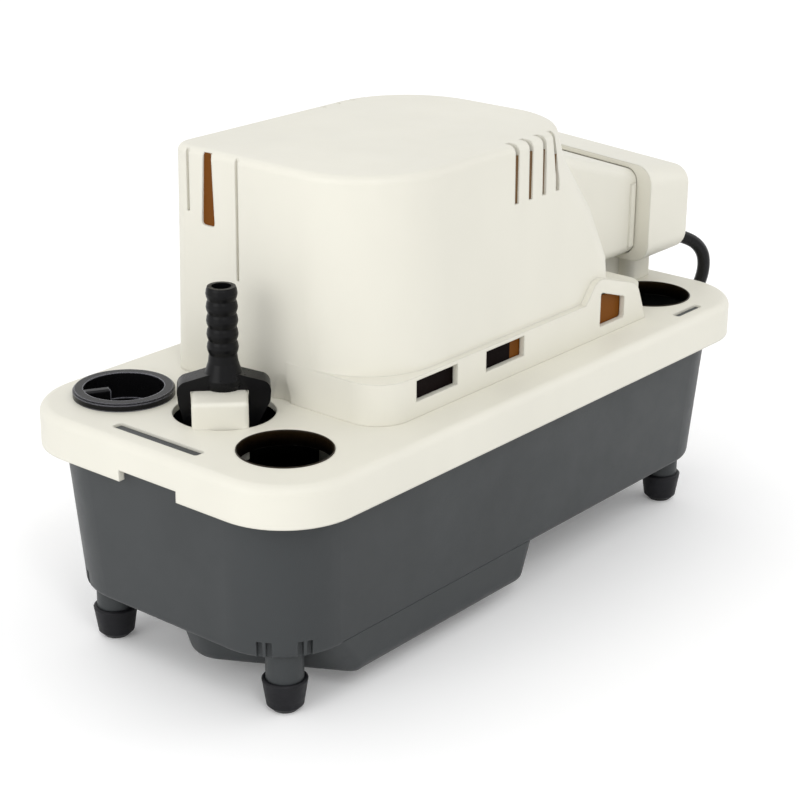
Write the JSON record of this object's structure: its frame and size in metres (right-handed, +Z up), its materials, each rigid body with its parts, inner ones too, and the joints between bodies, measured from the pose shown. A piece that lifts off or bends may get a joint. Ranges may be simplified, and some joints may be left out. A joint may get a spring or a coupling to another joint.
{
  "type": "condensate pump",
  "caption": "Small condensate pump: tank on rubber feet, deck with inlets and barbed check valve, motor cover, wiring box, float switch and mains cord.",
  "frame": {"origin": "on the supporting surface, under the centre of the deck's outline (cord left out)", "axes": "+Z up; +X along the length, from the discharge end to the wiring end; +Y across, away from the side with the base windows"},
  "size_m": [0.31, 0.2346, 0.182],
  "materials": {
    "cream_plastic": "satin moulded",
    "grey_plastic": "satin moulded",
    "black_plastic": "semi-gloss moulded",
    "black_rubber": "matte",
    "steel": "bright",
    "brass": "plain",
    "lamination_steel": "stacked laminations",
    "copper_winding": "varnished copper wire",
    "white_plastic": "natural",
    "cord_sheath": "glossy sheath"
  },
  "bodies": {
    "housing": {"tank": "grey_plastic", "deck_lid": "cream_plastic", "motor_cover": "cream_plastic", "wiring_box": "cream_plastic", "wiring_end_cap": "cream_plastic", "stator_stack": "lamination_steel", "motor_coil": "copper_winding", "upper_bearing_bracket": "steel", "lower_bearing_bracket": "steel", "upper_bearing": "brass", "lower_bearing": "brass", "motor_standoffs": "cream_plastic", "motor_screws": "steel", "volute_housing": "cream_plastic", "volute_cover": "cream_plastic", "discharge_tube": "black_plastic", "float_pivot_pin": "steel", "pump_switch": "black_plastic", "safety_switch": "black_plastic", "switch_bracket": "steel", "cover_screws": "steel", "foot_near_right": "black_rubber", "foot_near_left": "black_rubber", "foot_far_right": "black_rubber", "foot_far_left": "black_rubber", "cord_strain_relief": "black_rubber", "power_cord": "cord_sheath", "cord_coil": "cord_sheath", "power_plug": "cord_sheath", "plug_blades": "brass"},
    "rotor": {"rotor": "lamination_steel", "motor_shaft": "steel", "cooling_fan": "white_plastic", "impeller": "white_plastic"},
    "float": {"float": "white_plastic", "float_arm": "white_plastic"},
    "push_rod": {"push_rod": "white_plastic"},
    "pump_switch_plunger": {"pump_switch_plunger": "white_plastic"},
    "safety_switch_plunger": {"safety_switch_plunger": "white_plastic"},
    "check_valve": {"check_valve_body": "black_plastic", "valve_seal_ring": "black_rubber", "valve_spring": "steel"},
    "poppet": {"valve_poppet": "white_plastic"},
    "inlet_plug": {"inlet_plug": "black_plastic"}
  },
  "joints": [
    {"name": "motor_spin", "type": "hinge", "parent": "housing", "child": "rotor", "pos_m": [-0.038, 0, 0.12], "axis": [0, 0, 1], "continuous": true},
    {"name": "float_swing", "type": "hinge", "parent": "housing", "child": "float", "pos_m": [0.12, 0, 0.08], "axis": [0, 1, 0], "range_deg": [0, 20]},
    {"name": "push_rod_lift", "type": "slide", "parent": "housing", "child": "push_rod", "axis": [0, 0, 1], "range_m": [0, 0.00611]},
    {"name": "pump_switch_press", "type": "slide", "parent": "housing", "child": "pump_switch_plunger", "axis": [0, 0, 1], "range_m": [0, 0.00121]},
    {"name": "safety_switch_press", "type": "slide", "parent": "housing", "child": "safety_switch_plunger", "axis": [0, 0, 1], "range_m": [0, 0.00121]},
    {"name": "check_valve_lift_out", "type": "slide", "parent": "housing", "child": "check_valve", "axis": [0, 0, 1], "range_m": [0, 0.03]},
    {"name": "poppet_open", "type": "slide", "parent": "check_valve", "child": "poppet", "axis": [0, 0, 1], "range_m": [0, 0.003], "stiffness_N_per_m": 20, "springref_m": -0.002, "deforming": ["valve_spring"]},
    {"name": "inlet_plug_lift_out", "type": "slide", "parent": "housing", "child": "inlet_plug", "axis": [0, 0, 1], "range_m": [0, 0.025]}
  ],
  "couplings": [
    {"joint": "push_rod_lift", "follows": "float_swing", "m_per_rad": 0.0175},
    {"joint": "pump_switch_press", "follows": "float_swing", "m_per_rad": 0.003438},
    {"joint": "safety_switch_press", "follows": "float_swing", "m_per_rad": 0.003438}
  ]
}
